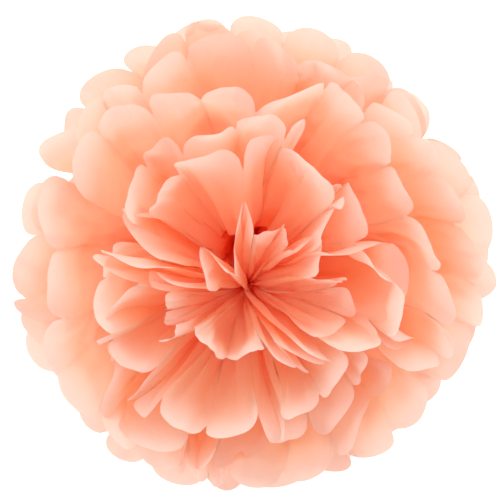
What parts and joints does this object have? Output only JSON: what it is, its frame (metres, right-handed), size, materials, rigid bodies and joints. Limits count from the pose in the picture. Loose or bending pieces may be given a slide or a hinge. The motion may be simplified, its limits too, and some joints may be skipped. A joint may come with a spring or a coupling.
{
  "type": "tissue paper pom pom",
  "caption": "Hanging flower ball of accordion-folded tissue paper sheets, tied across the middle with wire and opened into two fans of ruffled petals.",
  "frame": {"origin": "centre of the wire tie at the middle of the folded strip, which is the middle of the ball", "axes": "+Z along the flower axis, from the tie out through the upper petals, the way the thread leaves when it hangs; +X along the folded strip, from one fan of petals to the other; +Y along the slit between the two fans, towards the twisted tail of the wire"},
  "size_m": [0.3543, 0.3536, 0.3435],
  "materials": {
    "tissue": "matte, translucent peach tissue paper",
    "tie": "plain drawn wire"
  },
  "bodies": {
    "root": {"tissue_sheet_01": "tissue", "tissue_sheet_02": "tissue", "tissue_sheet_03": "tissue", "tissue_sheet_04": "tissue", "tissue_sheet_05": "tissue", "tissue_sheet_06": "tissue", "tissue_sheet_07": "tissue", "tissue_sheet_08": "tissue", "tissue_sheet_09": "tissue", "tissue_sheet_10": "tissue", "tissue_sheet_11": "tissue", "tissue_sheet_12": "tissue", "wire_tie": "tie"}
  },
  "joints": []
}
